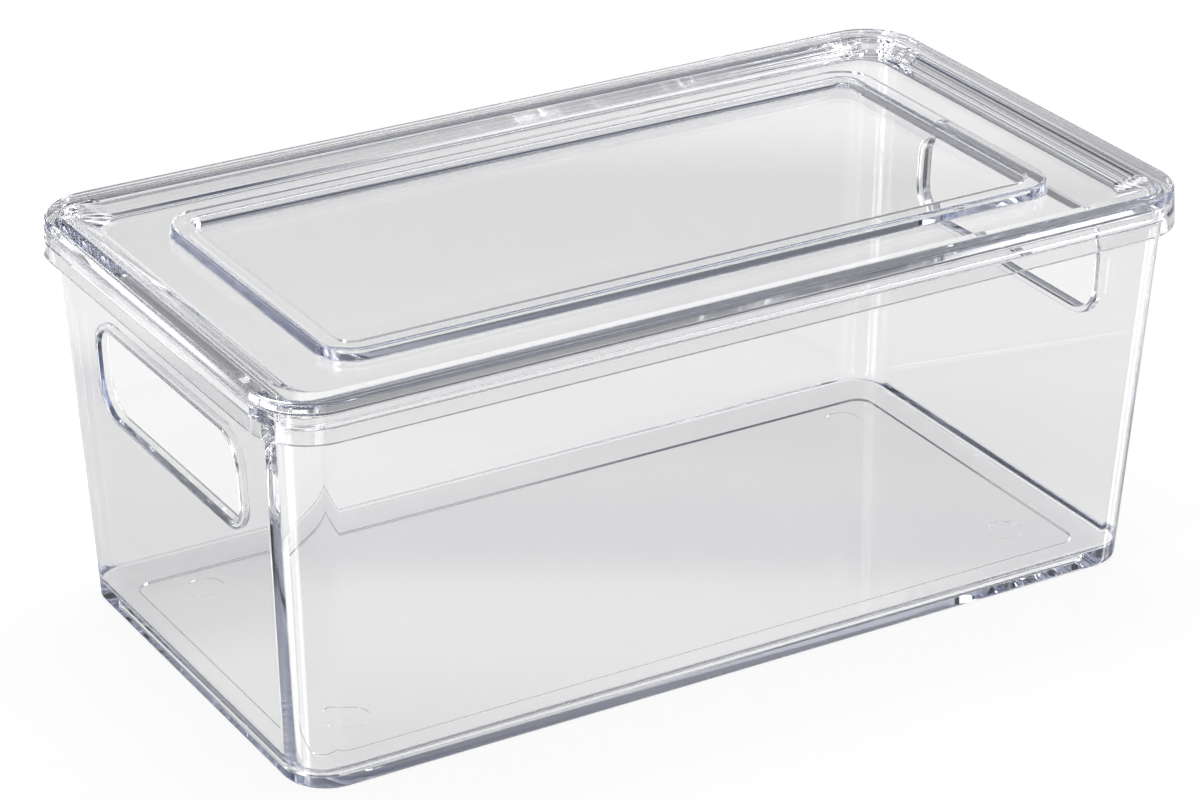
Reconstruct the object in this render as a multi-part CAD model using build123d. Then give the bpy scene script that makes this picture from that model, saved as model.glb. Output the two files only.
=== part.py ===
from build123d import *
import math
import os

# A clear storage bin with a hand hole in each end, and the lid that drops into its rim.
# Millimetres. The long side runs along X and the hand holes are in the short ends.
# The origin is the middle of the foot, on the surface that the bin stands on.

# Whole box, measured over the lip's lower edge, which is its widest place
case_length = 340.0
case_width = 186.0
case_corner_radius = 20.8
bin_height = 134.6

# Rim of the bin: a solid band, with a thin lip that hangs below it
rim_height = 10.0
band_height = 5.4
rim_lean = 0.65
lip_thickness = 2.2
lip_edge_radius = 0.7
rim_edge_radius = 0.4

# Walls, which stand in from the lip, lean in towards the foot and have tighter corners inside than out
rim_overhang = 4.6
wall_lean = 6.1
wall_thickness = 2.6
foot_corner_radius = 15.5
corner_tightening = 3.2
floor_height = 5.0
floor_fillet_radius = 3.3
foot_edge_radius = 1.6
mouth_edge_radius = 0.4

# Hand holes, each with a collar that stands in from the wall
hole_length = 102.0
hole_height = 31.5
hole_middle_height = 95.2
hole_corner_radius = 11.0
hole_edge_radius = 0.8
collar_thickness = 2.4
collar_reach = 2.4
collar_edge_radius = 0.9

# Round marks that the mould leaves on the bin's floor
mark_diameter = 12.5
mark_depth = 0.2
mark_inset = 29.5

# Lid: a flange that rests on the rim, and a dish with a flat floor
rest_gap = 0.3
flange_thickness = 3.3
flange_inset = 0.15
flange_lean = 0.15
flange_edge_radius = 0.5
lid_edge_radius = 1.0
dish_inset = 8.7
dish_slope_width = 8.3
dish_depth = 4.9
dish_corner_radius = 14.0
dish_floor_corner_radius = 11.0
dish_edge_radius = 1.2
dish_floor_radius = 4.0
panel_thickness = 2.6

# Plug under the lid: a rib all round that fits inside the bin's mouth
plug_clearance = 0.5
plug_depth = 6.4
plug_thickness = 2.5
plug_lean = 0.15
plug_edge_radius = 0.5

# Ridge on the lid, which goes into the foot of a bin stacked on top
ridge_length = 271.0
ridge_width = 123.6
ridge_corner_radius = 12.5
ridge_height = 4.2
ridge_thickness = 7.0
ridge_lean = 0.2
ridge_edge_radius = 1.0
ridge_root_radius = 0.5

# Recess under the foot, which takes the ridge of a lid below
stack_end_clearance = 11.5
stack_side_clearance = 4.2
recess_depth = 1.2
recess_corner_radius = 6.0

# Overrun of every cut past the face that it opens, and of every boss into what carries it
overrun = 1.0

# Margin within which an edge counts as lying at a level
level_margin = 0.03

# Levels and reaches that follow from these
lip_level = bin_height - rim_height
band_level = bin_height - band_height
flange_level = bin_height + rest_gap
lid_top = flange_level + flange_thickness
dish_level = lid_top - dish_depth
panel_level = dish_level - panel_thickness
plug_level = flange_level - plug_depth
ridge_top = dish_level + ridge_height
wall_corner_radius = case_corner_radius - rim_overhang
collar_end = wall_thickness + collar_reach


def outline(inset, level, radius):
    """Rounded rectangle that lies inside the case's widest outline, at a level."""
    flat = RectangleRounded(case_length - 2 * inset, case_width - 2 * inset, radius)
    return Plane.XY.offset(level) * flat


def ridge_outline(level, depth):
    """Outline of the ridge at a level, a depth in from its outer face."""
    inset = depth - ridge_lean * (ridge_top - level) / ridge_height
    flat = RectangleRounded(ridge_length - 2 * inset, ridge_width - 2 * inset, ridge_corner_radius - inset)
    return Plane.XY.offset(level) * flat


def wall_inset_at(level):
    """How far the outer face of the walls stands in from the widest outline."""
    return rim_overhang + wall_lean * (1 - level / lip_level)


def wall_radius_at(level):
    """Corner radius of the outer face of the walls."""
    return foot_corner_radius + (wall_corner_radius - foot_corner_radius) * level / lip_level


def wall_outline(level):
    """Outline of the outer face of the walls at a level."""
    return outline(wall_inset_at(level), level, wall_radius_at(level))


def inner_outline(wall_level, level, depth):
    """Outline that follows the walls' inner face of one level, a depth in from it, at a level."""
    inset = wall_inset_at(wall_level) + wall_thickness + depth
    radius = wall_radius_at(wall_level) - wall_thickness - corner_tightening - depth
    return outline(inset, level, radius)


def rim_outline(level, depth):
    """Outline of the rim at a level, a depth in from its outer face."""
    inset = rim_lean * (level - lip_level) / rim_height + depth
    return outline(inset, level, case_corner_radius - inset)


def flange_outline(level):
    """Outer outline of the lid's flange at a level."""
    inset = rim_lean + flange_inset + flange_lean * (level - flange_level) / flange_thickness
    return outline(inset, level, case_corner_radius - inset)


def plug_outline(level, depth):
    """Outline of the lid's plug at a level, a depth in from its outer face."""
    lean = plug_lean * (flange_level - level) / plug_depth
    return inner_outline(plug_level, level, plug_clearance + lean + depth)


def dish_outline(level):
    """Outline of the dish's sloping side at a level."""
    share = (level - dish_level) / dish_depth
    radius = dish_floor_corner_radius + (dish_corner_radius - dish_floor_corner_radius) * share
    return outline(dish_inset + dish_slope_width * (1 - share), level, radius)


def edges_at(solid, level):
    """Edges of a solid that lie whole at one level."""
    return solid.edges().filter_by_position(Axis.Z, level - level_margin, level + level_margin)


def mouth_edges(solid):
    """Edges round the opening in a solid's highest face."""
    return solid.faces().sort_by(Axis.Z)[-1].inner_wires()[0].edges()


def make_wall_block():
    """Outside of the bin's walls, filled, with the foot's edge rounded."""
    block = loft([wall_outline(0), wall_outline(bin_height)])
    return fillet(edges_at(block, 0), foot_edge_radius)


def make_rim_block():
    """Solid band and lip round the bin's mouth, filled above the gap behind the lip."""
    block = loft([rim_outline(lip_level, 0), rim_outline(bin_height, 0)])
    block = fillet(edges_at(block, lip_level), lip_edge_radius)
    block = fillet(edges_at(block, bin_height), rim_edge_radius)
    gap_bottom = rim_outline(lip_level - overrun, lip_thickness)
    return block - loft([gap_bottom, rim_outline(band_level, lip_thickness)])


def make_cavity():
    """Space inside the bin, with its floor's edge rounded."""
    top = bin_height + overrun
    cavity = loft([inner_outline(floor_height, floor_height, 0), inner_outline(top, top, 0)])
    return fillet(edges_at(cavity, floor_height), floor_fillet_radius)


def hole_plane(side):
    """Plane on the outer face of one end wall, at the hole's middle, facing out."""
    reach = case_length / 2 - wall_inset_at(hole_middle_height)
    tilt = math.atan2(wall_lean, lip_level)
    facing = (side * math.cos(tilt), 0, -math.sin(tilt))
    return Plane(origin=(side * reach, 0, hole_middle_height), x_dir=(0, side, 0), z_dir=facing)


def hole_outline(spread):
    """Outline of a hand hole, spread outwards by a margin."""
    return RectangleRounded(hole_length + 2 * spread, hole_height + 2 * spread, hole_corner_radius + spread)


def make_collar(plane):
    """Filled collar of one hand hole, from within the wall to its inner end."""
    start = plane.offset(overrun - wall_thickness)
    collar = extrude(start * hole_outline(collar_thickness), amount=-(collar_reach + overrun))
    inner_face = collar.faces().sort_by(Axis(plane.origin, plane.z_dir))[0]
    return fillet(inner_face.edges(), collar_edge_radius)


def make_hole(plane):
    """Cut of one hand hole, through the wall and its collar."""
    return extrude(plane.offset(overrun) * hole_outline(0), amount=-(collar_end + 2 * overrun))


def hole_edges(body, plane):
    """Edges of a hand hole, on the wall's outer face and on the collar's inner end."""
    out_axis = Axis(plane.origin, plane.z_dir)
    along_axis = Axis(plane.origin, plane.x_dir)
    up_axis = Axis(plane.origin, plane.y_dir)
    along_reach = hole_length / 2 + level_margin
    up_reach = hole_height / 2 + level_margin
    near = body.edges().filter_by_position(along_axis, -along_reach, along_reach)
    near = near.filter_by_position(up_axis, -up_reach, up_reach)
    outer_edges = near.filter_by_position(out_axis, -level_margin, level_margin)
    inner_edges = near.filter_by_position(out_axis, -collar_end - level_margin, -collar_end + level_margin)
    return outer_edges + inner_edges


def make_recess():
    """Recess under the foot, sized from the ridge that it takes."""
    length = ridge_length + 2 * stack_end_clearance
    width = ridge_width + 2 * stack_side_clearance
    mouth = Plane.XY.offset(-overrun) * RectangleRounded(length, width, recess_corner_radius)
    return extrude(mouth, amount=overrun + recess_depth)


def make_marks():
    """Four round marks, near the corners of the bin's floor."""
    inset = wall_inset_at(floor_height) + wall_thickness + mark_inset
    disc = extrude(Circle(mark_diameter / 2), amount=mark_depth + overrun)
    places = GridLocations(case_length - 2 * inset, case_width - 2 * inset, 2, 2)
    return [Pos(0, 0, floor_height - mark_depth) * place * disc for place in places]


def make_bin():
    """Bin: walls, rim and lip, hollowed, with collared hand holes and a recessed foot."""
    body = make_wall_block() + make_rim_block() - make_cavity()
    body = fillet(mouth_edges(body), mouth_edge_radius)
    for side in (-1, 1):
        plane = hole_plane(side)
        body = body + make_collar(plane) - make_hole(plane)
        body = fillet(hole_edges(body, plane), hole_edge_radius)
    return body - make_recess() - make_marks()


def make_flange():
    """Lid's flange, filled, with its outer edges rounded."""
    flange = loft([flange_outline(flange_level), flange_outline(lid_top)])
    flange = fillet(edges_at(flange, lid_top), lid_edge_radius)
    return fillet(edges_at(flange, flange_level), flange_edge_radius)


def make_plug():
    """Lid's plug, filled from its lower edge up into the flange."""
    plug = loft([plug_outline(plug_level, 0), plug_outline(flange_level + overrun, 0)])
    return fillet(edges_at(plug, plug_level), plug_edge_radius)


def make_plug_hollow():
    """Space under the panel, inside the plug."""
    bottom = plug_outline(plug_level - overrun, plug_thickness)
    return loft([bottom, plug_outline(panel_level, plug_thickness)])


def make_dish():
    """Space above the panel, with sloping sides."""
    dish = loft([dish_outline(dish_level), dish_outline(lid_top + overrun)])
    return fillet(edges_at(dish, dish_level), dish_floor_radius)


def make_ridge():
    """Rectangular ridge on the panel, with its top edges rounded."""
    root = dish_level - overrun
    block = loft([ridge_outline(root, 0), ridge_outline(ridge_top, 0)])
    inner = ridge_thickness + 2 * ridge_lean
    hollow = loft([ridge_outline(root, inner), ridge_outline(ridge_top, ridge_thickness)])
    return fillet(edges_at(block - hollow, ridge_top), ridge_edge_radius)


def ridge_root_edges(body):
    """Edges where the ridge meets the floor of the dish."""
    reach = ridge_length / 2 + ridge_root_radius
    side_reach = ridge_width / 2 + ridge_root_radius
    floor_edges = edges_at(body, dish_level).filter_by_position(Axis.X, -reach, reach)
    return floor_edges.filter_by_position(Axis.Y, -side_reach, side_reach)


def make_lid():
    """Lid: flange and plug with a dished panel, and the ridge on it."""
    body = make_flange() + make_plug() - make_plug_hollow() - make_dish()
    body = fillet(mouth_edges(body), dish_edge_radius) + make_ridge()
    return fillet(ridge_root_edges(body), ridge_root_radius)


os.makedirs("parts", exist_ok=True)
export_step(make_bin(), "parts/bin.step")
export_step(make_lid(), "parts/lid.step")
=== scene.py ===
import math
from collections import namedtuple

import bmesh
import bpy
from bpy.props import FloatProperty, FloatVectorProperty, IntProperty, PointerProperty
from mathutils import Matrix, Vector


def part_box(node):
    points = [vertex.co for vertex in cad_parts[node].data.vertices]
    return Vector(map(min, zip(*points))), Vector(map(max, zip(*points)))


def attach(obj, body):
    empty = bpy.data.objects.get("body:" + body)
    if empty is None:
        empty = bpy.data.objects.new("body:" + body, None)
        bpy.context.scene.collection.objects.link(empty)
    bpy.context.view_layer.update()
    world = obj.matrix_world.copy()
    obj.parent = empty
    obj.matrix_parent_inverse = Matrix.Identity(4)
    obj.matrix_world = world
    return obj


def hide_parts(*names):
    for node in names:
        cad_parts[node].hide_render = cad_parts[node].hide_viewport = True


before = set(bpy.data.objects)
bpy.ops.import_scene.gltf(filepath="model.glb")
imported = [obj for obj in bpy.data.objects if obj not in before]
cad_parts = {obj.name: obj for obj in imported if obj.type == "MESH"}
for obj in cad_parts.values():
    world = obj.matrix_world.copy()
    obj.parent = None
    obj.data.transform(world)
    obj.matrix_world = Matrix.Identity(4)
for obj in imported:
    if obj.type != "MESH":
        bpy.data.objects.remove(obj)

# A clear storage box: a bin with a hand hole in each end, and the lid that drops into its rim.
# Metres. Both mouldings are clear plastic, so each is a closed smooth shell of its own here.

bl_info = {
    "name": "Clear Storage Box",
    "version": (1, 0, 0),
    "blender": (4, 5, 0),
    "location": "3D View > Sidebar > Storage Box",
    "description": "Makes a clear storage bin with hand holes, its drop-in lid and a plain studio",
    "category": "Add Mesh",
}

BIN_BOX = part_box("bin")
LID_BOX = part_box("lid")
HALF = 0.5
QUARTER_TURN = math.pi / 2
CORNERS = 4
ONCE = 0.5  # A count above this is one or more
FACE_WEIGHT = 100  # Large faces decide the normals along their edges
SENSOR_WIDTH = 36  # Millimetres

# A section line starts and ends at points that only give its direction. They lie this many times
# a thickness away.
BIN_AIM = 9
RIDGE_AIM = 2
DISH_AIM = 2
PLUG_AIM = 4

Ring = namedtuple("Ring", "inset level corner rounding")
Station = namedtuple("Station", "half_length half_width corner level")
Lamp = namedtuple("Lamp", "name place width height power mirrored")


def size(name, description, default):
    """A length that a user may change."""
    return FloatProperty(name=name, description=description, default=default, min=0.0, unit="LENGTH",
                         precision=5)


def factor(name, description, default):
    """A share between 0 and 1 that a user may change."""
    return FloatProperty(name=name, description=description, default=default, min=0, max=1, subtype="FACTOR")


def number(name, description, default):
    """A brightness or another plain number that a user may change."""
    return FloatProperty(name=name, description=description, default=default)


def count(name, description, default, least):
    """A whole number that a user may change."""
    return IntProperty(name=name, description=description, default=default, min=least)


def angle(name, description, degrees):
    """An angle that a user may change."""
    return FloatProperty(name=name, description=description, default=math.radians(degrees), subtype="ANGLE")


def colour(name, description, default):
    """A colour that a user may change."""
    return FloatVectorProperty(name=name, description=description, default=default, size=3, min=0, max=1,
                               subtype="COLOR")


class CaseSizes(bpy.types.PropertyGroup):
    """Sizes that the bin and the lid share."""

    length: size("Length", "Outside, over the lip's lower edge", 0.340)
    width: size("Width", "Outside, over the lip's lower edge", 0.186)
    corner_radius: size("Corner radius", "Of the lip's lower edge, seen from above", 0.0208)
    rim_lean: size("Rim lean", "How far the rim leans in over its height", 0.00065)
    ridge_length: size("Ridge length", "Outside length of the ridge on the lid", 0.271)
    ridge_width: size("Ridge width", "Outside width of the ridge on the lid", 0.1236)


class BinSizes(bpy.types.PropertyGroup):
    """Sizes of the bin."""

    height: size("Height", "From the foot to the top of the rim", BIN_BOX[1].z)
    rim_height: size("Rim height", "From the lip's lower edge to the top of the rim", 0.010)
    band_height: size("Band height", "Solid part of the rim, above the gap behind the lip", 0.0054)
    lip_thickness: size("Lip thickness", "Of the lip that hangs below the band", 0.0022)
    lip_edge_radius: size("Lip edge radius", "Of the lip's outer lower edge", 0.0007)
    rim_edge_radius: size("Rim edge radius", "Of the rim's outer upper edge", 0.0004)
    rim_overhang: size("Rim overhang", "How far the lip stands out over the walls", 0.0046)
    wall_lean: size("Wall lean", "How far the walls lean in towards the foot", 0.0061)
    wall_thickness: size("Wall thickness", "Of the four walls", 0.0026)
    foot_corner_radius: size("Foot corner radius", "Of the foot, seen from above", 0.0155)
    corner_tightening: size("Corner tightening", "How much smaller the inner corners are than an even wall's",
                            0.0032)
    floor_height: size("Floor height", "Of the floor's upper face", 0.005)
    floor_fillet_radius: size("Floor fillet radius", "Where the floor meets the walls inside", 0.0033)
    foot_edge_radius: size("Foot edge radius", "Of the outer edge of the foot", 0.0016)
    mouth_edge_radius: size("Mouth edge radius", "Of the rim's inner upper edge", 0.0004)
    crease_radius: size("Crease radius", "Of the small inner corners that the mould leaves", 0.0003)
    hole_length: size("Hole length", "Of each hand hole", 0.102)
    hole_height: size("Hole height", "Of each hand hole", 0.0315)
    hole_middle_height: size("Hole middle height", "Above the foot", 0.0952)
    hole_corner_radius: size("Hole corner radius", "Of each hand hole", 0.011)
    hole_edge_radius: size("Hole edge radius", "Where the hole meets its two end faces", 0.0008)
    collar_thickness: size("Collar thickness", "Of the collar round each hand hole", 0.0024)
    collar_reach: size("Collar reach", "How far the collar stands in from the wall", 0.0024)
    collar_edge_radius: size("Collar edge radius", "Of the collar's outer edge inside the bin", 0.0009)
    mark_diameter: size("Mark diameter", "Of the round marks of the mould on the floor", 0.0125)
    mark_depth: size("Mark depth", "Of the round marks of the mould on the floor", 0.0002)
    mark_inset: size("Mark inset", "From the walls to the middle of each mark", 0.0295)
    stack_end_clearance: size("Stack end clearance", "At the ends of a ridge that goes into the foot", 0.0115)
    stack_side_clearance: size("Stack side clearance", "At the sides of a ridge that goes into the foot",
                               0.0042)
    recess_depth: size("Recess depth", "Of the recess under the foot", 0.0012)
    recess_corner_radius: size("Recess corner radius", "Of the recess under the foot", 0.006)


class LidSizes(bpy.types.PropertyGroup):
    """Sizes of the lid."""

    top: size("Top", "Height of the rim of the lid above the foot", LID_BOX[1].z)
    plug_level: size("Plug level", "Height of the lower edge of the plug above the foot", LID_BOX[0].z)
    flange_thickness: size("Flange thickness", "Of the flange that rests on the bin's rim", 0.0033)
    flange_inset: size("Flange inset", "From the edge of the bin's rim", 0.00015)
    flange_lean: size("Flange lean", "How far the flange's edge leans in", 0.00015)
    flange_edge_radius: size("Flange edge radius", "Of the flange's lower edge", 0.0005)
    edge_radius: size("Edge radius", "Of the lid's outer upper edge", 0.001)
    dish_inset: size("Dish inset", "From the widest outline to the mouth of the dish", 0.0087)
    dish_slope_width: size("Dish slope width", "Of the sloping side of the dish", 0.0083)
    dish_depth: size("Dish depth", "From the rim of the lid to the panel", 0.0049)
    dish_corner_radius: size("Dish corner radius", "At the mouth of the dish", 0.014)
    dish_floor_corner_radius: size("Dish floor corner radius", "At the panel", 0.011)
    dish_edge_radius: size("Dish edge radius", "Where the rim turns down into the dish", 0.0012)
    dish_floor_radius: size("Dish floor radius", "Where the slope meets the panel", 0.004)
    panel_thickness: size("Panel thickness", "Of the floor of the dish", 0.0026)
    plug_clearance: size("Plug clearance", "Between the plug and the walls of the bin", 0.0005)
    plug_depth: size("Plug depth", "From the flange's lower face to the plug's lower edge", 0.0064)
    plug_thickness: size("Plug thickness", "Of the rib that forms the plug", 0.0025)
    plug_lean: size("Plug lean", "How far the plug leans in over its depth", 0.00015)
    plug_edge_radius: size("Plug edge radius", "Of the plug's lower edges", 0.0005)
    crease_radius: size("Crease radius", "Of the small inner corners that the mould leaves", 0.0003)
    ridge_corner_radius: size("Ridge corner radius", "Of the ridge, seen from above", 0.0125)
    ridge_height: size("Ridge height", "Above the panel", 0.0042)
    ridge_thickness: size("Ridge thickness", "Across the ridge", 0.007)
    ridge_lean: size("Ridge lean", "How far the sides of the ridge lean in", 0.0002)
    ridge_edge_radius: size("Ridge edge radius", "Of the ridge's upper edges", 0.001)
    ridge_root_radius: size("Ridge root radius", "Where the ridge meets the panel", 0.0005)


class MeshDetail(bpy.types.PropertyGroup):
    """How finely the shells are divided."""

    corner_steps: count("Corner steps", "Faces round each corner", 18, 2)
    rounding_steps: count("Rounding steps", "Faces across each rounded edge", 6, 1)
    weld_distance: size("Weld distance", "Points nearer than this become one", 0.000001)
    overrun: size("Overrun", "How far a cut runs past the face that it opens", 0.001)
    smooth_angle: angle("Smooth angle", "Faces that meet at less than this look smooth", 28)


class PlasticLook(bpy.types.PropertyGroup):
    """Finish of the clear plastic."""

    tint: colour("Tint", "Share of light that one pane lets through", (0.955, 0.955, 0.955))
    refraction: number("Refraction", "Refractive index of the plastic", 1.50)
    depth_colour: colour("Depth colour", "Colour of light deep in the plastic", (0.5, 0.54, 0.68))
    depth_density: number("Depth density", "How fast the plastic takes light, per metre", 6.0)
    roughness: factor("Roughness", "Of the polished faces", 0.007)
    ripple_width: size("Ripple width", "Width of the faint ripples that moulding leaves", 0.030)
    ripple_depth: size("Ripple depth", "Depth of the faint ripples that moulding leaves", 0.000004)


class StudioLook(bpy.types.PropertyGroup):
    """Camera, background and lamps."""

    camera_place: FloatVectorProperty(name="Camera place", description="Where the camera stands",
                                      default=(-0.63654, -1.05745, 0.65641), size=3, subtype="TRANSLATION")
    camera_azimuth: angle("Camera azimuth", "Turn of the view from the long side", -30.836)
    camera_elevation: angle("Camera elevation", "How far the view looks down", 25.633)
    camera_roll: angle("Camera roll", "Tilt of the camera about its view", 0.241)
    lens: number("Lens", "Focal length in millimetres, on a 36 mm frame", 122.47)
    background: colour("Background", "Colour of the plain background", (1.0, 1.0, 1.0))
    bounces: count("Bounces", "How often light may turn inside the plastic", 64, 4)


class FloorLook(bpy.types.PropertyGroup):
    """The pale floor, which reflections see as painted shade near the box, darker further out and partly
    polished.
    """

    gap: size("Gap", "Air under the foot, so that the clear plastic shows its own face", 0.0003)
    reach: size("Reach", "Half the width of the floor", 4.0)
    shade: factor("Shade", "Share of light that the floor gives back", 0.95)
    shadow_share: factor("Shadow share", "How much of the floor's shading shows", 0.12)
    gloss: factor("Gloss", "How much the floor mirrors the studio in reflections", 0.7)
    gloss_roughness: factor("Gloss roughness", "Of the floor where it mirrors the studio", 0.02)
    # Painted shade: in reflections the floor glows at these levels in place of being lit
    near_level: factor("Near level", "How bright the floor near the box is in reflections", 0.55)
    far_level: factor("Far level", "How bright the floor further out is in reflections", 0.12)
    near_end: size("Near end", "How far out the floor keeps its near level", 0.38)
    far_start: size("Far start", "Where the floor has its far level", 0.50)
    # Painted shade: seen through the plastic, the floor glows dimmer between these distances
    fade_start: size("Fade start", "Where the floor starts to darken, seen through the plastic", 1.0)
    fade_end: size("Fade end", "Where the floor is dark, seen through the plastic", 1.4)


class WallsLook(bpy.types.PropertyGroup):
    """Studio walls that the clear plastic mirrors and bends towards the camera."""

    back_turn: angle("Back turn", "Direction of the wall behind the box, seen from the camera", 59)
    back_inner: number("Back inner", "How far to each side the wall behind is whole, in radians", 0.45)
    back_outer: number("Back outer", "How far to each side the wall behind ends, in radians", 0.60)
    window_turn: angle("Window turn", "Direction of the first window, beside all square views", -11)
    windows: number("Windows", "How many windows there are all round", 4.0)
    window_level: number("Window level", "How bright the windows are", 3.5)
    frame_colour: colour("Frame colour", "Of the dark frames round the windows", (0.06, 0.055, 0.07))
    soft_level: number("Soft level", "How bright the studio is to plain surfaces", 0.5)
    upward: number("Upward", "Light that leaves the plastic steeper than this sees the studio", 0.12)


def settings():
    """The values that a user may change."""
    return bpy.context.scene.storage_box


class BoxSettings(bpy.types.PropertyGroup):
    """Every value that a user may change."""

    case: PointerProperty(type=CaseSizes, name="Case", description="Sizes that bin and lid share")
    bin: PointerProperty(type=BinSizes, name="Bin", description="Sizes of the bin")
    lid: PointerProperty(type=LidSizes, name="Lid", description="Sizes of the lid")
    mesh: PointerProperty(type=MeshDetail, name="Mesh", description="Fineness of the shells")
    plastic: PointerProperty(type=PlasticLook, name="Plastic", description="Finish of the clear plastic")
    studio: PointerProperty(type=StudioLook, name="Studio", description="Camera, background and lamps")
    floor: PointerProperty(type=FloorLook, name="Floor", description="The pale floor")
    walls: PointerProperty(type=WallsLook, name="Walls", description="Studio walls that the plastic mirrors")


# Section lines, each a list of rings from the middle of the upper side out and round to the lower side

def rounded(points):
    """Rings of a section line at each point between its first and its last, which only give its direction."""
    rings = []
    for before, at, after in zip(points, points[1:], points[2:]):
        rings += round_point(before, at, after)
    return rings


def round_point(before, at, after):
    """Rings of one rounded point of a section line."""
    if at.rounding == 0:
        return [at]
    middle = Vector((at.inset, at.level))
    back = Vector((before.inset, before.level)) - middle
    ahead = Vector((after.inset, after.level)) - middle
    half_turn = back.angle(ahead) * HALF
    room = min(at.rounding / math.tan(half_turn), back.length * HALF, ahead.length * HALF)
    radius = room * math.tan(half_turn)
    centre = middle + (back.normalized() + ahead.normalized()).normalized() * radius / math.sin(half_turn)
    start = middle + back.normalized() * room - centre
    end = middle + ahead.normalized() * room - centre
    turn = start.angle_signed(end)
    steps = settings().mesh.rounding_steps
    rings = []
    for step in range(steps + 1):
        arm = start.copy()
        arm.rotate(Matrix.Rotation(-turn * step / steps, 2))
        place = centre + arm
        rings.append(Ring(place.x, place.y, at.corner - (place.x - at.inset), 0))
    return rings


def stations(length, width, rings):
    """Rings set in from a rectangle of this length and width."""
    return [Station(length * HALF - r.inset, width * HALF - r.inset, r.corner, r.level) for r in rings]


def spine(length, width, level):
    """Station that closes a rectangle on the line along its middle."""
    return Station((length - width) * HALF, 0, 0, level)


def wall_ring(level, depth, rounding):
    """Ring on the walls of the bin, a depth in from their outer face."""
    case, sizes = settings().case, settings().bin
    lip_level = sizes.height - sizes.rim_height
    rise = level / lip_level
    inset = sizes.rim_overhang + sizes.wall_lean * (1 - rise) + depth
    top_corner = case.corner_radius - sizes.rim_overhang
    corner = sizes.foot_corner_radius + (top_corner - sizes.foot_corner_radius) * rise - depth
    return Ring(inset, level, corner, rounding)


def inner_ring(level, rounding):
    """Ring on the inner face of the walls, whose corners are tighter than an even wall's."""
    sizes = settings().bin
    ring = wall_ring(level, sizes.wall_thickness, rounding)
    return ring._replace(corner=ring.corner - sizes.corner_tightening)


def rim_ring(level, depth, rounding):
    """Ring on the rim of the bin, a depth in from its outer face."""
    case, sizes = settings().case, settings().bin
    lip_level = sizes.height - sizes.rim_height
    inset = case.rim_lean * (level - lip_level) / sizes.rim_height + depth
    return Ring(inset, level, case.corner_radius - inset, rounding)


def plug_ring(level, depth, rounding):
    """Ring on the plug of the lid, a depth in from its outer face."""
    sizes = settings().lid
    lean = sizes.plug_lean * (sizes.top - sizes.flange_thickness - level) / sizes.plug_depth
    wall = inner_ring(sizes.plug_level, 0)
    inset = wall.inset + sizes.plug_clearance + lean + depth
    return Ring(inset, level, wall.corner - (inset - wall.inset), rounding)


def bin_stations():
    """The bin's section, from the middle of its floor over the rim to the middle of the foot."""
    case, sizes = settings().case, settings().bin
    band_level = sizes.height - sizes.band_height
    lip_level = sizes.height - sizes.rim_height
    aim = sizes.wall_thickness * BIN_AIM
    walls = [
        wall_ring(sizes.floor_height, aim, 0),
        inner_ring(sizes.floor_height, sizes.floor_fillet_radius),
        inner_ring(sizes.height, sizes.mouth_edge_radius),
        rim_ring(sizes.height, 0, sizes.rim_edge_radius),
        rim_ring(lip_level, 0, sizes.lip_edge_radius),
        rim_ring(lip_level, sizes.lip_thickness, sizes.crease_radius),
        rim_ring(band_level, sizes.lip_thickness, sizes.crease_radius),
        wall_ring(band_level, 0, sizes.crease_radius),
        wall_ring(0, 0, sizes.foot_edge_radius),
        wall_ring(0, aim, 0),
    ]
    length = case.ridge_length + 2 * sizes.stack_end_clearance
    width = case.ridge_width + 2 * sizes.stack_side_clearance
    corner = sizes.recess_corner_radius
    recess = [
        Ring(-sizes.wall_thickness, 0, corner, 0),
        Ring(0, 0, corner, sizes.crease_radius),
        Ring(0, sizes.recess_depth, corner, sizes.crease_radius),
        Ring(sizes.wall_thickness, sizes.recess_depth, corner, 0),
    ]
    result = [spine(case.length, case.width, sizes.floor_height)]
    result += stations(case.length, case.width, rounded(walls))
    result += stations(length, width, rounded(recess))
    return result + [spine(length, width, sizes.recess_depth)]


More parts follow.
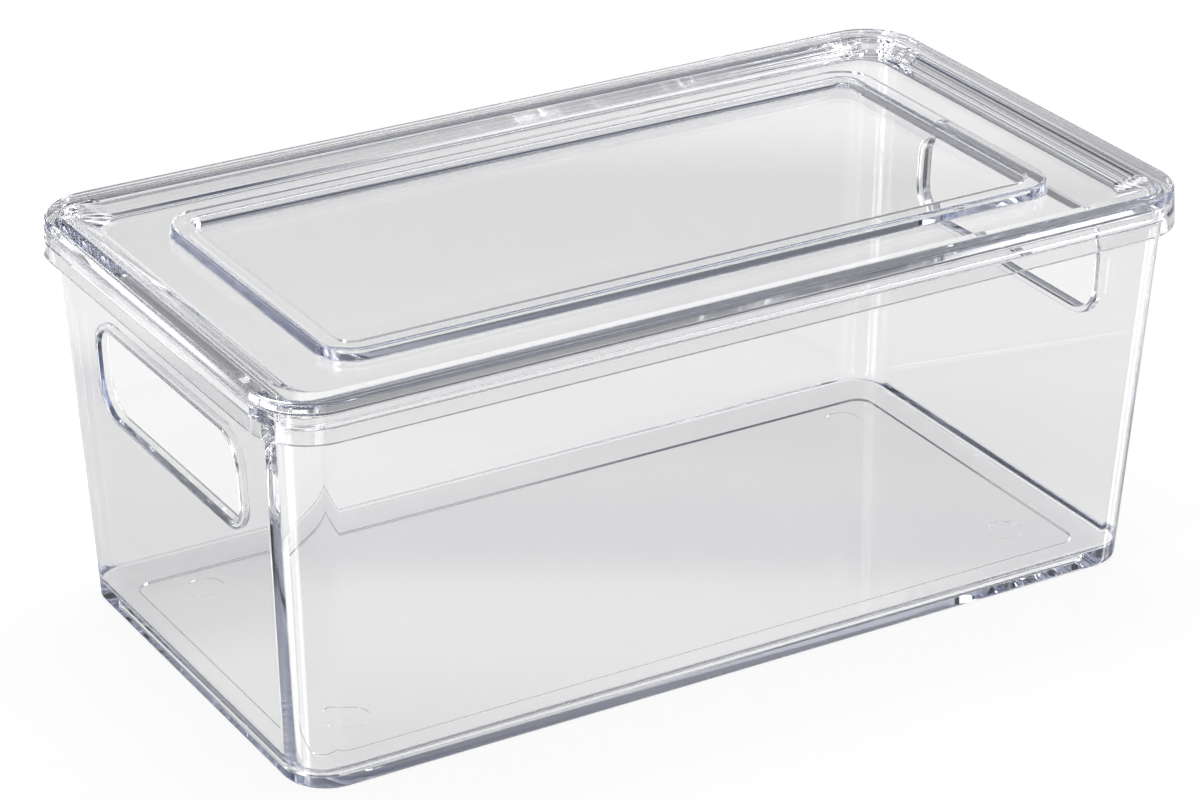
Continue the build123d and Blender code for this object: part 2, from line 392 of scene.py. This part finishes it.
def lid_stations():
    """The lid's section, from the middle of its panel over ridge and rim to the middle of its underside."""
    case, sizes = settings().case, settings().lid
    flange_level = sizes.top - sizes.flange_thickness
    dish_level = sizes.top - sizes.dish_depth
    panel_level = dish_level - sizes.panel_thickness
    ridge_top = dish_level + sizes.ridge_height
    corner, across, lean = sizes.ridge_corner_radius, sizes.ridge_thickness, sizes.ridge_lean
    ridge = [
        Ring(across * RIDGE_AIM, dish_level, corner - across, 0),
        Ring(across + lean, dish_level, corner - across - lean, sizes.ridge_root_radius),
        Ring(across, ridge_top, corner - across, sizes.ridge_edge_radius),
        Ring(0, ridge_top, corner, sizes.ridge_edge_radius),
        Ring(-lean, dish_level, corner + lean, sizes.ridge_root_radius),
        Ring(-across, dish_level, corner, 0),
    ]
    edge = case.rim_lean + sizes.flange_inset
    upper_edge = edge + sizes.flange_lean
    dish_foot = sizes.dish_inset + sizes.dish_slope_width
    rim = [
        Ring(dish_foot * DISH_AIM, dish_level, sizes.dish_floor_corner_radius, 0),
        Ring(dish_foot, dish_level, sizes.dish_floor_corner_radius, sizes.dish_floor_radius),
        Ring(sizes.dish_inset, sizes.top, sizes.dish_corner_radius, sizes.dish_edge_radius),
        Ring(upper_edge, sizes.top, case.corner_radius - upper_edge, sizes.edge_radius),
        Ring(edge, flange_level, case.corner_radius - edge, sizes.flange_edge_radius),
        plug_ring(flange_level, 0, sizes.crease_radius),
        plug_ring(sizes.plug_level, 0, sizes.plug_edge_radius),
        plug_ring(sizes.plug_level, sizes.plug_thickness, sizes.plug_edge_radius),
        plug_ring(panel_level, sizes.plug_thickness, sizes.plug_edge_radius),
        plug_ring(panel_level, sizes.plug_thickness * PLUG_AIM, 0),
    ]
    result = [spine(case.ridge_length, case.ridge_width, dish_level)]
    result += stations(case.ridge_length, case.ridge_width, rounded(ridge))
    result += stations(case.length, case.width, rounded(rim))
    return result + [spine(case.length, case.width, panel_level)]


# Shells, made from a section's rings by a geometry nodes tree

class Wiring:
    """Short ways to add nodes to a tree and join them."""

    def __init__(self, tree):
        self.tree = tree

    def node(self, kind, inputs=(), **values):
        """A node of one kind, with its settings and what goes into its inputs by name."""
        node = self.tree.nodes.new(kind)
        for name, value in values.items():
            setattr(node, name, value)
        for name, value in dict(inputs).items():
            self.feed(node.inputs[name], value)
        return node

    def feed(self, socket, value):
        """Join an output to a socket, or set the socket's own value."""
        if isinstance(value, bpy.types.NodeSocket):
            self.tree.links.new(value, socket)
        else:
            socket.default_value = value

    def math(self, operation, first, second=0.0):
        """Result of one sum."""
        node = self.node("ShaderNodeMath", operation=operation)
        self.feed(node.inputs[0], first)
        self.feed(node.inputs[1], second)
        return node.outputs[0]

    def between(self, value, start, end, low=0.0, high=1.0):
        """A level that goes from low to high while a value goes from start to end."""
        return self.node("ShaderNodeMapRange", {"Value": value, "From Min": start, "From Max": end,
                                                "To Min": low, "To Max": high}).outputs[0]

    def glow(self, kind, shade, strength=1.0):
        """Shader that gives off one colour."""
        return self.node(kind, {"Color": shade, "Strength": strength})

    def blend(self, share, first, second):
        """Mix of two shaders, with a share of the second."""
        mix = self.node("ShaderNodeMixShader", {"Fac": share})
        self.feed(mix.inputs[1], first.outputs[0])
        self.feed(mix.inputs[2], second.outputs[0])
        return mix

    def blend_colours(self, share, first, second):
        """Mix of two colours, with a share of the second."""
        mix = self.node("ShaderNodeMix", data_type="RGBA")
        for place, value in ((0, share), (6, first), (7, second)):
            self.feed(mix.inputs[place], value)
        return mix.outputs[2]

    def ramp(self, value, stops):
        """Colours that change with a value, from pairs of value and colour."""
        node = self.node("ShaderNodeValToRGB", {"Fac": value})
        ramp = node.color_ramp.elements
        for place, (at, shade) in ((0, stops[0]), (1, stops[-1])):
            ramp[place].position, ramp[place].color = at, (*shade, 1)
        for at, shade in stops[1:-1]:
            ramp.new(at).color = (*shade, 1)
        return node.outputs[0]


def empty_wiring(owner):
    """Wiring on the emptied node tree of a material or a world."""
    owner.use_nodes = True
    owner.node_tree.nodes.clear()
    return Wiring(owner.node_tree)


def ring_tree():
    """Geometry nodes tree that joins rounded rectangles, one for each point of its input, into a shell."""
    found = bpy.data.node_groups.get("Ring Shell")
    if found:
        return found
    tree = bpy.data.node_groups.new("Ring Shell", "GeometryNodeTree")
    for name, kind in (("Stations", "Geometry"), ("Corner Steps", "Int"), ("Weld Distance", "Float"),
                       ("Finish", "Material")):
        tree.interface.new_socket(name, in_out="INPUT", socket_type="NodeSocket" + kind)
    tree.interface.new_socket("Shell", in_out="OUTPUT", socket_type="NodeSocketGeometry")
    wire = Wiring(tree)
    inputs = wire.node("NodeGroupInput").outputs
    around = wire.math("MULTIPLY", wire.math("ADD", inputs["Corner Steps"], 1), CORNERS)
    columns = wire.math("ADD", around, 1)
    count = wire.node("GeometryNodeAttributeDomainSize", {"Geometry": inputs["Stations"]}, component="MESH")
    grid = wire.node("GeometryNodeMeshGrid", {"Vertices X": count.outputs["Point Count"],
                                              "Vertices Y": columns})

    index = wire.node("GeometryNodeInputIndex").outputs[0]
    row = wire.math("FLOOR", wire.math("DIVIDE", index, columns))
    column = wire.math("MODULO", wire.math("MODULO", index, columns), around)
    per_corner = wire.math("ADD", inputs["Corner Steps"], 1)
    corner = wire.math("FLOOR", wire.math("DIVIDE", column, per_corner))
    step = wire.math("DIVIDE", wire.math("MODULO", column, per_corner), inputs["Corner Steps"])
    heading = wire.math("MULTIPLY", wire.math("ADD", corner, step), QUARTER_TURN)
    diagonal = wire.math("MULTIPLY", wire.math("ADD", corner, HALF), QUARTER_TURN)

    place = wire.node("GeometryNodeInputPosition").outputs[0]
    corners = wire.node("GeometryNodeInputNamedAttribute", {"Name": "corner_radius"}, data_type="FLOAT")
    station = {"Geometry": inputs["Stations"], "Index": row}
    extent = wire.node("GeometryNodeSampleIndex", station, data_type="FLOAT_VECTOR")
    wire.feed(extent.inputs["Value"], place)
    radius = wire.node("GeometryNodeSampleIndex", station, data_type="FLOAT")
    wire.feed(radius.inputs["Value"], corners.outputs["Attribute"])
    radius = radius.outputs["Value"]
    parts = wire.node("ShaderNodeSeparateXYZ", {"Vector": extent.outputs["Value"]}).outputs

    def coordinate(half_size, turn):
        side = wire.math("SIGN", wire.math(turn, diagonal))
        centre = wire.math("MULTIPLY", side, wire.math("SUBTRACT", half_size, radius))
        return wire.math("ADD", centre, wire.math("MULTIPLY", radius, wire.math(turn, heading)))

    ring = wire.node("ShaderNodeCombineXYZ", {"X": coordinate(parts["X"], "COSINE"),
                                              "Y": coordinate(parts["Y"], "SINE"), "Z": parts["Z"]})
    placed = wire.node("GeometryNodeSetPosition", {"Geometry": grid.outputs["Mesh"],
                                                   "Position": ring.outputs[0]})
    welded = wire.node("GeometryNodeMergeByDistance", {"Geometry": placed.outputs[0],
                                                       "Distance": inputs["Weld Distance"]})
    real = wire.node("GeometryNodeRealizeInstances", {"Geometry": welded.outputs[0]})
    finished = wire.node("GeometryNodeSetMaterial", {"Geometry": real.outputs[0],
                                                     "Material": inputs["Finish"]})
    wire.node("NodeGroupOutput", {"Shell": finished.outputs[0]})
    return tree


def plain_mesh(obj):
    """Turn an object and its modifiers into a plain mesh."""
    bpy.context.view_layer.update()
    result = bpy.data.meshes.new_from_object(obj.evaluated_get(bpy.context.evaluated_depsgraph_get()))
    obj.modifiers.clear()
    obj.data = result


def make_shell(name, section, finish):
    """Closed shell through every station of a section."""
    mesh = bpy.data.meshes.new(name)
    mesh.from_pydata([(s.half_length, s.half_width, s.level) for s in section], [], [])
    corners = mesh.attributes.new("corner_radius", "FLOAT", "POINT")
    corners.data.foreach_set("value", [s.corner for s in section])
    obj = bpy.data.objects.new(name, mesh)
    bpy.context.scene.collection.objects.link(obj)
    modifier = obj.modifiers.new("Ring Shell", "NODES")
    modifier.node_group = ring_tree()
    detail = settings().mesh
    values = {"Corner Steps": detail.corner_steps, "Weld Distance": detail.weld_distance, "Finish": finish}
    for item in modifier.node_group.interface.items_tree:
        if item.name in values:
            modifier[item.identifier] = values[item.name]
    plain_mesh(obj)
    obj.data.materials.clear()
    obj.data.materials.append(finish)
    face_outwards(obj)
    return obj


def face_outwards(obj):
    """Weld a closed shell's points and turn its faces outwards."""
    work = bmesh.new()
    work.from_mesh(obj.data)
    bmesh.ops.remove_doubles(work, verts=work.verts, dist=settings().mesh.weld_distance)
    bmesh.ops.recalc_face_normals(work, faces=work.faces)
    for face in work.faces:
        face.material_index = 0
    work.to_mesh(obj.data)
    work.free()


def combine(obj, tools, operation):
    """Join tools that stand apart to a shell or cut them away, and remove the tools."""
    tool = tools[0]
    work = bmesh.new()
    for piece in tools:
        work.from_mesh(piece.data)
    work.to_mesh(tool.data)
    work.free()
    for piece in tools[1:]:
        bpy.data.objects.remove(piece)
    modifier = obj.modifiers.new("Combine", "BOOLEAN")
    modifier.operation = operation
    modifier.solver = "EXACT"
    modifier.object = tool
    plain_mesh(obj)
    bpy.data.objects.remove(tool)


def polish(obj):
    """Smooth shading that keeps flat faces flat and sharp edges sharp."""
    face_outwards(obj)
    obj.data.shade_smooth()
    obj.data.set_sharp_from_angle(angle=settings().mesh.smooth_angle)
    modifier = obj.modifiers.new("Flat Faces", "WEIGHTED_NORMAL")
    modifier.keep_sharp = True
    modifier.weight = FACE_WEIGHT
    plain_mesh(obj)


# Hand holes and mould marks of the bin

def hole_place(side):
    """Matrix that puts a hand hole's own frame on one end wall: X along the hole, Y up, Z outwards."""
    case, sizes = settings().case, settings().bin
    wall = wall_ring(sizes.hole_middle_height, 0, 0)
    tilt = math.atan2(sizes.wall_lean, sizes.height - sizes.rim_height)
    out = Vector((side * math.cos(tilt), 0, -math.sin(tilt)))
    along = Vector((0, side, 0))
    matrix = Matrix((along, out.cross(along), out)).transposed().to_4x4()
    matrix.translation = Vector((side * (case.length * HALF - wall.inset), 0, sizes.hole_middle_height))
    return matrix


def hole_stations(rings):
    """Closed section round a hand hole, from rings whose inset is from the hole's own outline."""
    sizes = settings().bin
    length, height = sizes.hole_length, sizes.hole_height
    section = [spine(length, height, rings[0].level)]
    section += stations(length, height, rings)
    return section + [spine(length, height, rings[-1].level)]


def collar_stations():
    """Filled collar, from within the wall to its inner end."""
    sizes, overrun = settings().bin, settings().mesh.overrun
    start, end = overrun - sizes.wall_thickness, -sizes.wall_thickness - sizes.collar_reach
    spread = sizes.collar_thickness
    corner = sizes.hole_corner_radius + spread
    outside = Ring(-spread, start, corner, 0)
    edge = rounded([outside, Ring(-spread, end, corner, sizes.collar_edge_radius), Ring(0, end, corner, 0)])
    return hole_stations([outside] + edge)


def bore_stations():
    """Filled bore, spread by a small radius at both ends."""
    sizes, overrun = settings().bin, settings().mesh.overrun
    end = -sizes.wall_thickness - sizes.collar_reach
    steps = settings().mesh.rounding_steps
    spread = sizes.hole_edge_radius
    widest = spread * 2
    turn = QUARTER_TURN / steps
    rings = []
    for face, out in ((0, 1), (end, -1)):
        # The first face of the rounding runs on past the wall, so that no point lies on the wall itself
        flare = [(widest, face + out * overrun), (widest, face + out * spread * math.tan(turn * HALF))]
        for step in range(1, steps + 1):
            wide, deep = 1 - math.sin(turn * step), 1 - math.cos(turn * step)
            flare.append((spread * wide, face - out * spread * deep))
        rings += flare if out > 0 else reversed(flare)
    return hole_stations([Ring(-wide, level, sizes.hole_corner_radius + wide, 0) for wide, level in rings])


def at_both_ends(section, finish):
    """One shell of a section at each hand hole."""
    shells = []
    for side in (-1, 1):
        shell = make_shell("hole_tool", section, finish)
        shell.data.transform(hole_place(side))
        shells.append(shell)
    return shells


def make_marks(finish):
    """Round tools that leave the marks of the mould on the floor."""
    case, sizes, overrun = settings().case, settings().bin, settings().mesh.overrun
    wall = wall_ring(sizes.floor_height, sizes.wall_thickness, 0)
    radius = sizes.mark_diameter * HALF
    top, bottom = sizes.floor_height + overrun, sizes.floor_height - sizes.mark_depth
    middle = [Station(0, 0, 0, top), Station(radius, radius, radius, top),
              Station(radius, radius, radius, bottom), Station(0, 0, 0, bottom)]
    tools = []
    for x_side in (-1, 1):
        for y_side in (-1, 1):
            tool = make_shell("mark_tool", middle, finish)
            x = x_side * (case.length * HALF - wall.inset - sizes.mark_inset)
            y = y_side * (case.width * HALF - wall.inset - sizes.mark_inset)
            tool.data.transform(Matrix.Translation((x, y, 0)))
            tools.append(tool)
    return tools


# Finishes

def clear_plastic(name):
    """Clear polished plastic, with a tint in its depth and faint ripples from the mould."""
    look = settings().plastic
    material = bpy.data.materials.new(name)
    wire = empty_wiring(material)
    place = wire.node("ShaderNodeTexCoord").outputs["Object"]
    ripple = wire.node("ShaderNodeTexNoise", {"Vector": place, "Scale": 1 / look.ripple_width, "Detail": 1.0})
    bump = wire.node("ShaderNodeBump", {"Height": ripple.outputs[0], "Strength": 1.0,
                                        "Distance": look.ripple_depth})
    surface = wire.node("ShaderNodeBsdfPrincipled", {
        "Base Color": (*look.tint, 1), "Roughness": look.roughness, "IOR": look.refraction,
        "Transmission Weight": 1.0, "Normal": bump.outputs[0]})
    depth = wire.node("ShaderNodeVolumeAbsorption", {"Color": (*look.depth_colour, 1),
                                                     "Density": look.depth_density})
    wire.node("ShaderNodeOutputMaterial", {"Surface": surface.outputs[0], "Volume": depth.outputs[0]})
    return material


def seen_straight(wire):
    """1 for what is seen directly or straight through the plastic, 0 for what is seen by reflection."""
    rays = wire.node("ShaderNodeLightPath").outputs
    seen = wire.math("MAXIMUM", rays["Is Camera Ray"], rays["Is Transmission Ray"])
    return wire.math("MULTIPLY", seen, wire.math("LESS_THAN", rays["Glossy Depth"], ONCE))


def pale_floor(name):
    """Pale floor that camera and plastic see as the plain background with a soft shadow, with painted shade
    far out and in reflections.
    """
    look = settings().floor
    white, pale = (*settings().studio.background, 1), (look.shade, look.shade, look.shade, 1)
    material = bpy.data.materials.new(name)
    wire = empty_wiring(material)
    rays = wire.node("ShaderNodeLightPath").outputs
    mirrored_or_through = wire.math("MAXIMUM", rays["Is Glossy Ray"], rays["Is Transmission Ray"])
    seen = wire.math("MAXIMUM", rays["Is Camera Ray"], mirrored_or_through)
    shaded = wire.node("ShaderNodeBsdfDiffuse", {"Color": pale})
    place = wire.node("ShaderNodeTexCoord").outputs["Object"]
    distance = wire.node("ShaderNodeVectorMath", {0: place}, operation="LENGTH").outputs["Value"]
    # Straight: plain white, but painted shade far out, a dimmer glow for what the plastic bends there
    through = wire.math("SUBTRACT", 1.0, rays["Is Camera Ray"])
    far = wire.between(distance, look.fade_start, look.fade_end)
    dark = wire.math("MULTIPLY", wire.math("MULTIPLY", through, far), 1 - look.far_level)
    direct = wire.glow("ShaderNodeEmission", white, wire.math("SUBTRACT", 1.0, dark))
    # By reflection: partly a glow of painted shade in place of the lit floor, partly a mirror of the studio
    painted_shade_level = wire.between(distance, look.near_end, look.far_start, look.near_level, look.far_level)
    painted_floor_shade = wire.glow("ShaderNodeEmission", white, painted_shade_level)
    polished = wire.node("ShaderNodeBsdfGlossy", {"Color": pale, "Roughness": look.gloss_roughness})
    mirrored = wire.blend(look.gloss, painted_floor_shade, polished)
    plain = wire.blend(seen_straight(wire), mirrored, direct)
    visible = wire.math("MULTIPLY", seen, 1 - look.shadow_share)
    wire.node("ShaderNodeOutputMaterial", {"Surface": wire.blend(visible, shaded, plain).outputs[0]})
    return material


# Operators, one for each piece and one for the stage

def hand_over(obj, node):
    """Let a finished piece stand for its solid and move with its body."""
    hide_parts(node)
    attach(obj, node)


class OBJECT_OT_storage_bin(bpy.types.Operator):
    """Make the bin: walls, rim, floor, hand holes and mould marks"""

    bl_idname = "object.storage_bin"
    bl_label = "Bin"
    bl_options = {"REGISTER", "UNDO"}

    def execute(self, context):
        finish = clear_plastic("clear_plastic_bin")
        obj = make_shell("clear_bin", bin_stations(), finish)
        combine(obj, at_both_ends(collar_stations(), finish), "UNION")
        combine(obj, at_both_ends(bore_stations(), finish) + make_marks(finish), "DIFFERENCE")
        polish(obj)
        hand_over(obj, "bin")
        return {"FINISHED"}


class OBJECT_OT_storage_lid(bpy.types.Operator):
    """Make the lid: flange, plug, dished panel and stacking ridge"""

    bl_idname = "object.storage_lid"
    bl_label = "Lid"
    bl_options = {"REGISTER", "UNDO"}

    def execute(self, context):
        obj = make_shell("clear_lid", lid_stations(), clear_plastic("clear_plastic_lid"))
        polish(obj)
        hand_over(obj, "lid")
        return {"FINISHED"}


class OBJECT_OT_storage_studio(bpy.types.Operator):
    """Make the stage: floor, surroundings, lamps and camera"""

    bl_idname = "object.storage_studio"
    bl_label = "Studio"
    bl_options = {"REGISTER", "UNDO"}

    def execute(self, context):
        make_floor()
        make_surroundings(context.scene)
        make_lamps()
        make_camera(context.scene)
        context.scene.view_settings.view_transform = "Standard"
        cycles = context.scene.cycles
        bounces = settings().studio.bounces
        cycles.max_bounces = bounces
        cycles.transmission_bounces = bounces
        cycles.glossy_bounces = bounces
        return {"FINISHED"}


# Stage

def make_floor():
    """Pale floor just under the foot."""
    look = settings().floor
    reach, height = look.reach, -look.gap
    corners = ((-reach, -reach), (reach, -reach), (reach, reach), (-reach, reach))
    mesh = bpy.data.meshes.new("floor")
    mesh.from_pydata([(x, y, height) for x, y in corners], [], [(0, 1, 2, 3)])
    mesh.materials.append(pale_floor("pale_floor"))
    obj = bpy.data.objects.new("floor", mesh)
    bpy.context.scene.collection.objects.link(obj)


NAVY = (0.06, 0.07, 0.13)
DEEP_NAVY = (0.05, 0.06, 0.11)
BROWN = (0.10, 0.09, 0.08)
LIGHT_RING = (2.4, 2.4, 2.4)
RING_EDGE = (0.10, 0.10, 0.14)
CEILING = (0.45, 0.45, 0.46)

# Colours of the studio's walls by the height of the direction, behind the box and all round it.
# Flat faces mirror the light between 0.41 and 0.45, and the dark lines give the plastic its edges.
BEHIND = (
    (0.0, (0.25, 0.25, 0.27)), (0.14, (0.25, 0.25, 0.27)), (0.17, (0.05, 0.06, 0.12)), (0.34, NAVY),
    (0.350, (0.90, 0.90, 0.90)), (0.370, (0.90, 0.90, 0.90)),
    (0.382, (0.27, 0.27, 0.28)), (0.448, (0.30, 0.30, 0.30)), (0.456, NAVY), (0.466, NAVY),
    (0.474, (0.85, 0.85, 0.85)), (0.50, (0.85, 0.85, 0.85)), (0.52, DEEP_NAVY), (0.60, (0.12, 0.10, 0.08)),
    (0.64, (0.45, 0.45, 0.45)), (0.69, (0.45, 0.45, 0.45)),
    (0.71, LIGHT_RING), (0.78, LIGHT_RING), (0.80, RING_EDGE), (0.85, CEILING),
)
AROUND = (
    (0.0, DEEP_NAVY), (0.10, NAVY), (0.16, (0.55, 0.56, 0.60)), (0.24, (0.75, 0.75, 0.76)),
    (0.29, (0.08, 0.09, 0.16)), (0.32, BROWN), (0.340, (0.80, 0.80, 0.80)), (0.365, (0.80, 0.80, 0.80)),
    (0.375, (0.35, 0.35, 0.36)), (0.400, (0.35, 0.35, 0.36)),
    (0.412, (1.00, 1.00, 1.01)), (0.448, (1.10, 1.10, 1.10)), (0.456, NAVY),
    (0.468, (0.28, 0.28, 0.30)), (0.512, (0.28, 0.28, 0.30)),
    (0.522, (0.85, 0.85, 0.85)), (0.560, (0.85, 0.85, 0.85)), (0.572, BROWN), (0.60, NAVY),
    (0.62, (0.50, 0.50, 0.52)), (0.69, (0.45, 0.45, 0.45)),
    (0.71, LIGHT_RING), (0.78, LIGHT_RING), (0.80, RING_EDGE), (0.85, CEILING),
)

# Where the frames and the panes of the windows start and end, on a wave that is 1 at a window's middle
FRAME_START, FRAME_END = 0.62, 0.70
PANE_START, PANE_END = 0.84, 0.91
WINDOW_TOP, WINDOW_WHOLE = 0.56, 0.53


def make_surroundings(scene):
    """Plain white for the camera, walls and windows for mirrored light, a soft level for plain surfaces."""
    look = settings().walls
    world = bpy.data.worlds.new("studio")
    scene.world = world
    wire = empty_wiring(world)
    toward = wire.node("ShaderNodeTexCoord").outputs["Generated"]
    parts = wire.node("ShaderNodeSeparateXYZ", {"Vector": toward}).outputs
    turn = wire.math("ARCTAN2", parts["Y"], parts["X"])
    around = wire.ramp(parts["Z"], AROUND)
    behind = wire.ramp(parts["Z"], BEHIND)
    aside = wire.math("ABSOLUTE", wire.math("SUBTRACT", turn, look.back_turn))
    walls = wire.blend_colours(wire.between(aside, look.back_outer, look.back_inner), around, behind)
    # Tall white windows with dark frames all round, below the ring of light overhead
    past_window = wire.math("SUBTRACT", turn, look.window_turn)
    wave = wire.math("COSINE", wire.math("MULTIPLY", past_window, look.windows))
    frame_share = wire.between(wave, FRAME_START, FRAME_END)
    pane_share = wire.between(wave, PANE_START, PANE_END)
    low = wire.between(parts["Z"], WINDOW_TOP, WINDOW_WHOLE)
    pane = (look.window_level, look.window_level, look.window_level, 1)
    framed = wire.blend_colours(wire.math("MULTIPLY", frame_share, low), walls, (*look.frame_colour, 1))
    studio = wire.blend_colours(wire.math("MULTIPLY", pane_share, low), framed, pane)
    mirrored = wire.glow("ShaderNodeBackground", studio)
    plain = wire.glow("ShaderNodeBackground", (*settings().studio.background, 1))
    soft = wire.glow("ShaderNodeBackground", (look.soft_level, look.soft_level, look.soft_level, 1))
    rays = wire.node("ShaderNodeLightPath").outputs
    upwards = wire.math("GREATER_THAN", parts["Z"], look.upward)
    turned = wire.math("MULTIPLY", rays["Is Transmission Ray"], upwards)
    by_plastic = wire.math("MAXIMUM", wire.math("GREATER_THAN", rays["Glossy Depth"], ONCE), turned)
    straight = wire.math("MULTIPLY", seen_straight(wire), wire.math("SUBTRACT", 1.0, turned))
    lit = wire.blend(by_plastic, soft, mirrored)
    wire.node("ShaderNodeOutputWorld", {"Surface": wire.blend(straight, lit, plain).outputs[0]})


# Sizes in metres and power in watts. The lamp overhead isn't mirrored: it would hide the flat lid in white.
LAMPS = (
    Lamp("lamp_top", (0.10, 0.30, 1.30), 0.9, 0.5, 9.0, False),
    Lamp("lamp_left", (-1.30, -0.30, 0.70), 0.3, 1.0, 8.0, True),
    Lamp("lamp_right", (1.20, -0.60, 0.90), 0.25, 0.9, 6.0, True),
)


def make_lamps():
    """Soft panels above and at both sides of the box."""
    for lamp in LAMPS:
        light = bpy.data.lights.new(lamp.name, "AREA")
        light.shape = "RECTANGLE"
        light.size, light.size_y, light.energy = lamp.width, lamp.height, lamp.power
        obj = bpy.data.objects.new(lamp.name, light)
        obj.location = lamp.place
        aim = Vector((0, 0, BIN_BOX[1].z * HALF)) - Vector(lamp.place)
        obj.rotation_euler = aim.to_track_quat("-Z", "Y").to_euler()
        obj.visible_glossy = obj.visible_transmission = lamp.mirrored
        bpy.context.scene.collection.objects.link(obj)


def make_camera(scene):
    """Camera at the photograph's place and angle."""
    look = settings().studio
    azimuth, elevation = look.camera_azimuth, look.camera_elevation
    back = Vector((math.sin(azimuth) * math.cos(elevation), -math.cos(azimuth) * math.cos(elevation),
                   math.sin(elevation)))
    right = Vector((math.cos(azimuth), math.sin(azimuth), 0))
    matrix = Matrix((right, back.cross(right), back)).transposed().to_4x4()
    matrix = matrix @ Matrix.Rotation(look.camera_roll, 4, "Z")
    matrix.translation = look.camera_place
    camera = bpy.data.cameras.new("camera")
    camera.sensor_width = SENSOR_WIDTH
    camera.lens = look.lens
    obj = bpy.data.objects.new("camera", camera)
    scene.collection.objects.link(obj)
    obj.matrix_world = matrix
    scene.camera = obj


# Panel and registration

class VIEW3D_PT_storage_box(bpy.types.Panel):
    """Lists the pieces of the storage box and the values of each"""

    bl_label = "Storage Box"
    bl_idname = "VIEW3D_PT_storage_box"
    bl_space_type = "VIEW_3D"
    bl_region_type = "UI"
    bl_category = "Storage Box"

    def draw(self, context):
        column = self.layout.column()
        for piece in PIECES:
            column.operator(piece.bl_idname)
        values = context.scene.storage_box
        for group in values.bl_rna.properties:
            if group.type == "POINTER":
                block = column.box()
                block.label(text=group.name)
                chosen = getattr(values, group.identifier)
                for value in chosen.bl_rna.properties:
                    if not value.is_readonly and value.identifier != "name":
                        block.prop(chosen, value.identifier)


PIECES = (OBJECT_OT_storage_bin, OBJECT_OT_storage_lid, OBJECT_OT_storage_studio)
GROUPS = (CaseSizes, BinSizes, LidSizes, MeshDetail, PlasticLook, StudioLook, FloorLook, WallsLook,
          BoxSettings)
CLASSES = GROUPS + PIECES + (VIEW3D_PT_storage_box,)


def register():
    """Add the classes and the scene's settings."""
    for cls in CLASSES:
        bpy.utils.register_class(cls)
    bpy.types.Scene.storage_box = PointerProperty(type=BoxSettings)


def unregister():
    """Take the classes and the scene's settings away again."""
    del bpy.types.Scene.storage_box
    for cls in reversed(CLASSES):
        bpy.utils.unregister_class(cls)


def main():
    """Make the box and its studio."""
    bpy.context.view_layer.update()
    register()
    bpy.ops.object.storage_bin()
    bpy.ops.object.storage_lid()
    bpy.ops.object.storage_studio()


if __name__ == "__main__":
    main()
